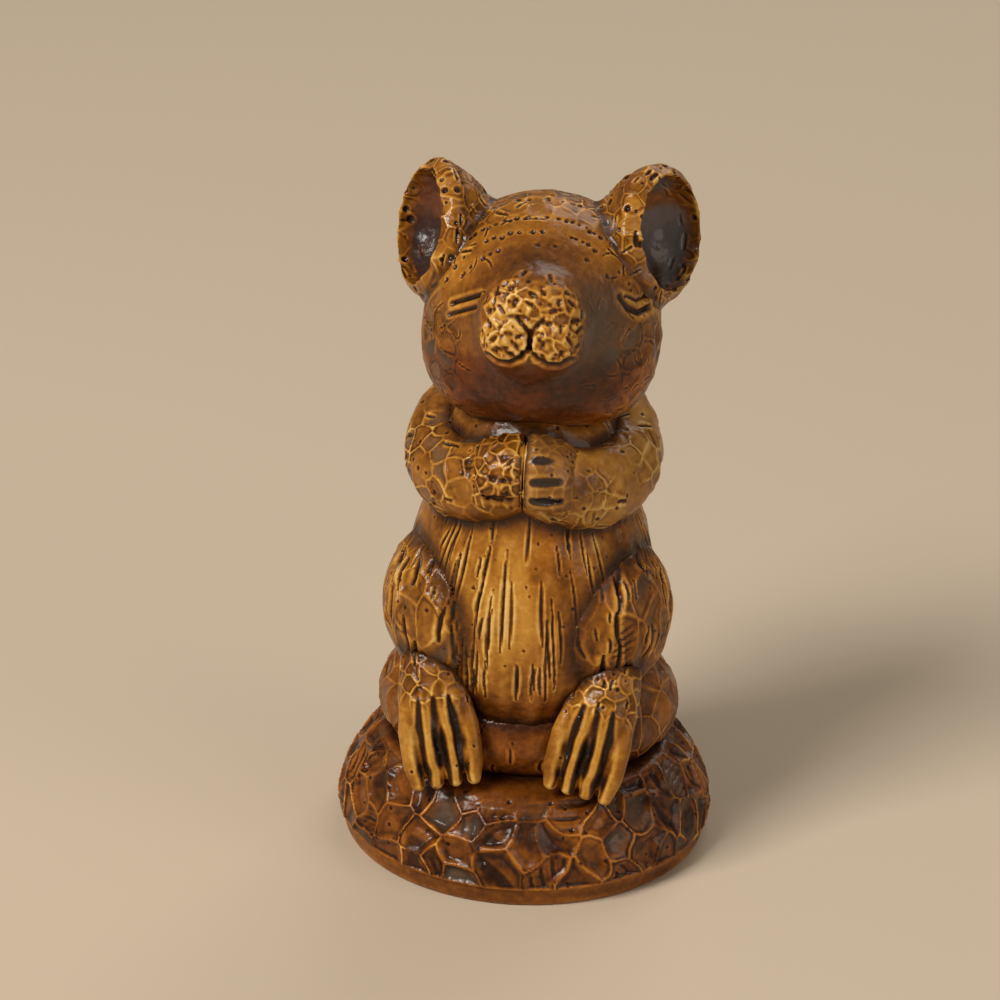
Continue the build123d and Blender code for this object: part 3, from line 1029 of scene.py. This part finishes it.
def carve_thigh(side, name):
    def shape(p):
        q = mirrored(p, side)
        return without(q, thigh_field(q), torso_field, seat_field)

    skin = Skin(shape, f"{name}_thigh", STEP, shade=0.51, margin=2.0)
    even = skin.even(0.9)
    skin.red += 0.2 if side == LEFT else 0.0
    gouge_cells(skin, even * 0.9, size=4.2, depth=0.35, ridge=0.1, dark=0.6, pale=0.24, squash=0.5)
    down = one_way(np.array([0.25 * side, -0.5, -1.0]))
    strokes(
        skin, even, count=22, length=4.6, width=0.9, depth=0.45,
        guide=down, apart=2.4, bend=0.3, dark=0.9,
    )
    strokes(skin, even, count=30, length=2.2, width=0.4, depth=0.25, guide=down, apart=1.4, bend=0.2)
    pits(skin, even, 40, 0.22, 0.2, apart=1.4)
    calm(skin, torso_field, seat_field)
    crease_shade(skin, torso_field, seat_field, reach=0.7, strength=0.6)
    crease_shade(skin, on_side(foot_field, side), on_side(arm_field, side), reach=0.8)
    finish_skin(skin, "carved_wood")


def carve_foot(side, name):
    def shape(p):
        q = mirrored(p, side)
        return without(q, foot_field(q), torso_field, seat_field, thigh_field, mound_field)

    skin = Skin(shape, f"{name}_hind_foot", FINE_STEP, shade=0.54, margin=1.6)
    q = mirrored(skin.points, side)
    lanes = toe_gaps(q)
    skin.shade += 0.2 * bell(lanes, 0.55, 0.25)
    skin.darken(0.97 * step_up(0.42, 0.12, lanes))
    upper = step_up(0.5, 0.38, (q - ANKLE) @ foot_along / FOOT_LENGTH)
    even = skin.even(0.7)
    along = one_way(mirrored(foot_along, side))
    gouge_cells(skin, even * upper, size=2.0, depth=0.14, ridge=0.05, dark=0.6, greyed=0.05)
    strokes(skin, upper, count=14, length=1.3, width=0.5, depth=0.35, guide=along, apart=1.1, bend=0.3)
    pits(skin, even, 26, 0.22, 0.2, apart=0.9)
    calm(skin, torso_field, seat_field, mound_field, on_side(thigh_field, side), reach=0.6)
    crease_shade(skin, torso_field, seat_field, mound_field, on_side(thigh_field, side), reach=0.7)
    finish_skin(skin, "carved_paw")


# A painted shadow on the left forearm beside the paw, as in the photograph
PAW_SHADOW = np.array([6.8, -14.5, PAW_Z - 2.0])
PAW_SHADOW_SPREAD = np.array([1.3, 3, 2.6])


def carve_arm(side, name):
    def shape(p):
        q = mirrored(p, side)
        return np.maximum(without(p, arm_field(q), torso_field, head_field), ARM_GAP - q[:, 0])

    skin = Skin(shape, f"{name}_arm", STEP, shade=0.53)
    even = skin.even(0.9)
    if side == LEFT:
        # Painted light: the left arm is made paler and greyer, a painted rim light with grey sheen.
        skin.grey += 0.2
        skin.shade += 0.17
        # Painted shadow beside the paw.
        skin.darken(0.6 * np.exp(-np.sum(((skin.points - PAW_SHADOW) / PAW_SHADOW_SPREAD) ** 2, 1)))
    honeycomb = step_up(0.3, 0.65, noise(skin.points, 4.5, 7.0)) * (0.7 if side == LEFT else 1.0)
    gouge_cells(skin, honeycomb, size=2.8, depth=0.2, ridge=0.1, dark=0.8)
    skin.relief += 0.4 * (noise(skin.points, 2.2, 3.0) - 0.5)
    forearm = one_way(mirrored(WRIST - ELBOW, side))
    strokes(
        skin, even * 0.6, count=30, length=2.2, width=0.5, depth=0.35,
        guide=forearm, apart=1.8, bend=0.3,
    )
    pits(skin, even * 0.6, 60, 0.24, 0.22, apart=1.1)
    calm(skin, torso_field, head_field)
    crease_shade(skin, torso_field, head_field, reach=0.8)
    finish_skin(skin, "carved_wood")


def carve_paw(side, name):
    def shape(p):
        q = mirrored(p, side)
        field = without(q, paw_field(q), arm_field)
        return np.maximum(without(p, field, torso_field, head_field), PAW_GAP - q[:, 0])

    skin = Skin(shape, f"{name}_front_paw", FINE_STEP, shade=0.47)
    q = mirrored(skin.points, side)
    slots = finger_gaps(q)
    slot_stain, roughness, greyness = (0.97, 0.3, 0.25) if side == LEFT else (0.3, 1.0, 0.0)
    skin.grey += greyness
    even = skin.even(0.8)
    skin.shade += 0.14 * bell(slots, 0.5, 0.25)
    skin.darken(slot_stain * step_up(0.36, 0.1, slots))
    skin.shade += 0.12 * bell(q[:, 0], 0.9, 0.5)
    # Painted shade down the middle, where the two paws meet.
    skin.darken(0.85 * bell(q[:, 0], 0, 0.4))
    gouge_cells(skin, even * roughness, size=1.7, depth=0.16, ridge=0.06, dark=0.7, greyed=0.05)
    pits(skin, even, 22, 0.22, 0.2, apart=0.8)
    calm(skin, on_side(arm_field, side), reach=0.3)
    finish_skin(skin, "carved_paw")


# Head: eyes in degrees of turn and rise, mouth in millimetres on the muzzle's end,
# rows of punched dots by how far behind the middle of the head they lie, and a patch of painted grey sheen
RIGHT_EYE = ((28, 23.5), (37, 19.5), (47, 14.5))
LEFT_EYE = ((48, 22.5), (52, 16), (59, 12), (70, 11.5))
SECOND_SLIT_DROP = 5.5
LID_RISE = 6
MOUTH = ((0, -2.4), (0.9, -3.5), (2.1, -4.1), (3.4, -4.1), (4.7, -3.4))
PHILTRUM = ((0, -2.4), (0, -0.6), (1.4, 0.9))
DOT_ROWS = (2.6, -0.6, -4.6, -6.6, -8.2)
DOT_PITCH = 0.85
DOTS_LEFT_OUT = 0.25
SHEEN_PATCH = np.array([6.6, -12.0, 2.8])
SHEEN_PATCH_RADIUS = 5.0


def head_spot(turn, rise):
    """A place on the ball of the head, by its turn to the left and its rise, in degrees."""
    return HEAD_CENTRE + direction(math.radians(turn), math.radians(rise)) * HEAD_RADIUS


def carve_eyes(skin):
    """Closed eyes: two slanting slits on the right, and a deeper drooping fold on the left."""
    q = skin.points - HEAD_CENTRE
    on_ball = HEAD_CENTRE + q * (HEAD_RADIUS / np.linalg.norm(q, axis=1))[:, None]
    right = [head_spot(-turn, rise) for turn, rise in RIGHT_EYE]
    below = [head_spot(-turn, rise - SECOND_SLIT_DROP) for turn, rise in RIGHT_EYE]
    left = [head_spot(turn, rise) for turn, rise in LEFT_EYE]
    lid = [head_spot(turn, rise + LID_RISE) for turn, rise in LEFT_EYE[1:]]
    cut_line(skin, path_gap(on_ball, right), width=0.55, depth=0.5, lip=0.12)
    cut_line(skin, path_gap(on_ball, below), width=0.45, depth=0.4, lip=0.12)
    cut_line(skin, path_gap(on_ball, left), width=0.75, depth=0.6, lip=0.15)
    cut_line(skin, path_gap(on_ball, lid), width=0.4, depth=0.25, dark=0.7, lip=0.12)


def carve_mouth(skin):
    """The split of the upper lip and the two arcs of the mouth, drawn on the muzzle's end."""
    sideways, upward, forward = muzzle_frame(skin.points)
    flat = np.stack([sideways, upward], 1)
    behind = 20 * step_up(10.5, 9.0, forward)
    for side in (RIGHT, LEFT):
        for path in (MOUTH, PHILTRUM):
            line = np.array(path) * [side, 1]
            cut_line(skin, path_gap(flat, line) + behind, width=0.5, depth=0.45, dark=0.8, lip=0.2)


def brow_dots():
    """Rows of dots on rings round the head, each ring a plane across the way it faces."""
    spots = []
    for row in DOT_ROWS:
        radius = math.sqrt(HEAD_RADIUS**2 - row**2)
        for turn in np.arange(-1.1, 1.1, DOT_PITCH / radius):
            angle = turn + rng.normal(0, 0.02)
            if rng.random() < DOTS_LEFT_OUT:
                continue
            way = [radius * math.sin(angle), row + rng.normal(0, 0.15), radius * math.cos(angle)]
            spots.append(HEAD_CENTRE + way)
    return spots


def snout_mask(points):
    """The pitted end of the muzzle, with a ragged edge."""
    sideways, upward, forward = muzzle_frame(points)
    ragged = 3.0 * (noise(points, 1.8, 8.0) - 0.5)
    mask = step_up(11.8, 15.8, forward + ragged) * step_up(-4.6, -3.0, upward + 0.5 * ragged)
    mask *= step_up(7.0, 2.5, upward + ragged) * step_up(6.4, 5.2, np.hypot(sideways, upward) + 0.3 * ragged)
    return mask


def stain_head(skin, snout, collar, chin):
    """Gold snout; painted shade in the collar round the muzzle, on the bridge and under the warm chin and
    jowls; a painted highlight on the brow; a painted grey sheen patch by the left eye.
    """
    q = skin.points - HEAD_CENTRE
    sideways, upward, forward = muzzle_frame(skin.points)
    bare = 1 - snout
    # Painted shade on the bridge above the muzzle.
    bridge_shade = bell(sideways, 0, 4.5) * bell(upward, 7.0, 2.5) * step_up(6, 10, forward)
    # Painted highlight on the brow.
    brow_highlight = bell(q[:, 1], -9.0, 3.0) * step_up(4, 7, q[:, 2])
    jowl = step_up(1.0, -3.0, q[:, 2]) * step_up(2.0, -3.0, q[:, 1])
    skin.shade += 0.15 * snout - 0.14 * collar - 0.12 * bridge_shade + 0.06 * brow_highlight
    # Painted shade under the chin and jowls; the red below warms them.
    skin.shade -= (0.07 * chin + 0.08 * jowl) * bare
    skin.red += 0.6 * chin + 0.15 * collar + 0.3 * jowl * bare
    # Painted grey sheen by the left eye.
    skin.grey += 0.9 * bell(np.linalg.norm(q - SHEEN_PATCH, axis=1), 0, SHEEN_PATCH_RADIUS) * bare


def carve_snout(skin, snout):
    """Shallow facets, short cuts in every direction and pits."""
    gouge_cells(skin, snout, size=1.6, depth=0.16, ridge=0.04, dark=0.3, pale=0.1, greyed=0.0, combs=0.0)
    strokes(
        skin, snout, count=42, length=1.2, width=0.85, depth=0.24,
        guide=lambda spot, normal: rng.normal(size=3), apart=1.1, dark=0.5,
    )
    pits(skin, snout, 40, 0.24, 0.16, apart=0.7, dark=0.58)


def carve_head():
    def shape(p):
        return without(p, cleared_head(p, EAR_BACK_WALL - SINK), torso_field)

    skin = Skin(shape, "head", STEP, shade=0.52)
    sideways, upward, forward = muzzle_frame(skin.points)
    height = skin.points[:, 2] - HEAD_CENTRE[2]
    face = step_up(5, 9, forward)
    snout = snout_mask(skin.points)
    # collar is a ring round the muzzle that gets painted shade.
    collar = bell(np.hypot(sideways, upward), 7.2, 2.6) * face
    # chin marks the underside of the muzzle, which gets painted shade and warm red.
    chin = step_up(-3.8, -5.0, upward) * step_up(4, 9, forward)
    cheek = step_up(7.0, 9.5, np.abs(sideways)) * step_up(3.5, 0.5, height) * (1 - snout)
    crown = np.clip(1 - snout - cheek - collar - chin - face, 0, 1)
    flank = step_up(4.5, 7.5, np.abs(sideways)) * step_up(-3.0, 3.0, forward) * (1 - snout)
    stain_head(skin, snout, collar, chin)
    carve_snout(skin, snout)
    carve_mouth(skin)
    gouge_cells(skin, cheek * 0.9, size=2.8, depth=0.14, ridge=-0.06, dark=1.0, pale=0.1)
    carve_eyes(skin)
    punch(skin, brow_dots(), radius=0.3, depth=0.28)
    gouge_cells(skin, crown * 0.8, size=2.6, depth=0.12, ridge=0.03, dark=0.7, pale=0.16, greyed=0.15)
    strokes(
        skin, crown, count=170, length=1.8, width=0.4, depth=0.25,
        guide=round_axis(MUZZLE_FORWARD, 0.4), apart=1.1,
    )
    strokes(
        skin, flank, count=80, length=1.9, width=0.26, depth=0.13,
        guide=round_axis(MUZZLE_FORWARD, 0.8), apart=1.2, bend=0.5, dark=0.85,
    )
    calm(skin, torso_field)
    crease_shade(skin, torso_field, both(arm_field), reach=0.8)
    for side in (RIGHT, LEFT):
        crease_shade(skin, lambda p: ear_field(ear_place(p, side)), reach=0.6, strength=0.6)
    finish_skin(skin, "carved_head")


def stain_ear(skin, side, cup, rim):
    """Pale rims; the right cup warm and dark at the bottom, the left one mottled with painted grey sheen."""
    low = step_up(1.0, -3.5, (ear_place(skin.points, side) - EAR_MOUTH)[:, 2])
    mottled = noise(skin.points, 2.6, 6.0)
    if side == LEFT:
        # The left cup's mottled grey is painted sheen.
        deepening, warmth, greyness = 0.12, 0.4, 0.75 * step_up(0.3, 0.55, mottled)
    else:
        deepening, warmth, greyness = 0.3, 0.8, 0.1
    skin.shade += 0.1 * rim - (0.12 + deepening * low + 0.2 * (mottled - 0.5)) * cup
    skin.red += warmth * cup
    skin.grey += greyness * cup


def carve_ear(side, name):
    def shape(p):
        return seated(ear_field(ear_place(p, side)), cleared_head(p, EAR_BACK_WALL), 1.6)

    skin = Skin(shape, f"{name}_ear", FINE_STEP, shade=0.53, margin=2.0)
    height, radial = ear_frame(ear_place(skin.points, side))
    facing = mirrored(skin.normals, side) @ ear_direction
    bowl_radius = EAR_RADIUS - EAR_WALL
    cup = step_up(bowl_radius + 0.1, bowl_radius - 0.5, radial) * step_up(-0.1, 0.3, facing)
    rim = bell(radial, EAR_RADIUS - 0.7, 0.6) * step_up(-1.6, -0.6, height)
    outside = 1 - cup
    axis = mirrored(ear_direction, side)
    stain_ear(skin, side, cup, rim)
    skin.relief += 0.3 * (noise(skin.points, 1.8, 3.0) - 0.5)
    gouge_cells(skin, outside * 0.7, size=3.0, depth=0.16, ridge=0.04, dark=0.7, pale=0.16, greyed=0.1)
    pits(skin, outside, 60, 0.42, 0.3, apart=1.2)
    pits(skin, outside, 90, 0.24, 0.2, apart=0.7)
    strokes(
        skin, np.clip(outside - rim, 0, 1), count=40, length=1.8, width=0.45, depth=0.3,
        guide=lambda spot, normal: np.cross(normal, axis), apart=1.3,
    )
    calm(skin, head_field, reach=0.6)
    crease_shade(skin, head_field, reach=0.5, strength=0.6)
    finish_skin(skin, "carved_ear")


carve_plate()
carve_mound()
carve_seat()
carve_torso()
carve_tail()
carve_head()
for side, name in ((LEFT, "left"), (RIGHT, "right")):
    carve_thigh(side, name)
    carve_foot(side, name)
    carve_arm(side, name)
    carve_paw(side, name)
    carve_ear(side, name)

# The dowels stay as the CAD nodes
for node in ("spine_dowel", "neck_dowel", "arm_pegs"):
    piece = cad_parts[node]
    piece.data.materials.clear()
    piece.data.materials.append(dowel_wood)


# Floor, light and camera, in metres and watts

LIGHT_AIM = Vector((0, 0, 0.04))
CAMERA_AZIMUTH = math.radians(5.5)
CAMERA_PITCH = math.radians(24.7)
CAMERA_ROLL = math.radians(1.5)
CAMERA_DISTANCE = 0.4315
CAMERA_TARGET = Vector((-0.0039, 0, 0.0417))
CAMERA_LENS = 132.8


def make_floor():
    bpy.ops.mesh.primitive_plane_add(size=6)
    floor = bpy.context.object
    floor.name = "floor"
    material, _, shader = new_material("pale_floor")
    fill(shader, {"Base Color": (0.58, 0.48, 0.36, 1), "Roughness": 0.9})
    floor.data.materials.append(material)


def area_light(name, place, size, power, colour):
    data = bpy.data.lights.new(name, "AREA")
    data.energy = power
    data.size = size
    data.color = colour
    lamp = bpy.data.objects.new(name, data)
    lamp.location = place
    aim = LIGHT_AIM - Vector(place)
    lamp.rotation_euler = aim.to_track_quat("-Z", "Y").to_euler()
    bpy.context.scene.collection.objects.link(lamp)


def make_room():
    world = bpy.data.worlds.new("room")
    bpy.context.scene.world = world
    world.use_nodes = True
    background = world.node_tree.nodes["Background"]
    fill(background, {"Color": (0.95, 0.86, 0.74, 1), "Strength": 0.17})


def make_camera():
    data = bpy.data.cameras.new("camera")
    data.sensor_width = 36
    data.lens = CAMERA_LENS
    camera = bpy.data.objects.new("camera", data)
    away = Vector(direction(CAMERA_AZIMUTH, CAMERA_PITCH))
    camera.location = CAMERA_TARGET + away * CAMERA_DISTANCE
    aim = (-away).to_track_quat("-Z", "Y").to_matrix().to_4x4()
    camera.rotation_euler = (aim @ Matrix.Rotation(CAMERA_ROLL, 4, "Z")).to_euler()
    bpy.context.scene.collection.objects.link(camera)
    bpy.context.scene.camera = camera


make_floor()
area_light("key", place=(-0.5, -0.5, 0.75), size=0.35, power=9.0, colour=(1.0, 0.95, 0.88))
area_light("fill", place=(0.7, -0.4, 0.45), size=0.6, power=1.7, colour=(1.0, 0.95, 0.88))
area_light("back", place=(0.2, 0.7, 0.7), size=0.6, power=2.5, colour=(1.0, 0.97, 0.92))
make_room()
make_camera()
bpy.context.scene.view_settings.view_transform = "Standard"
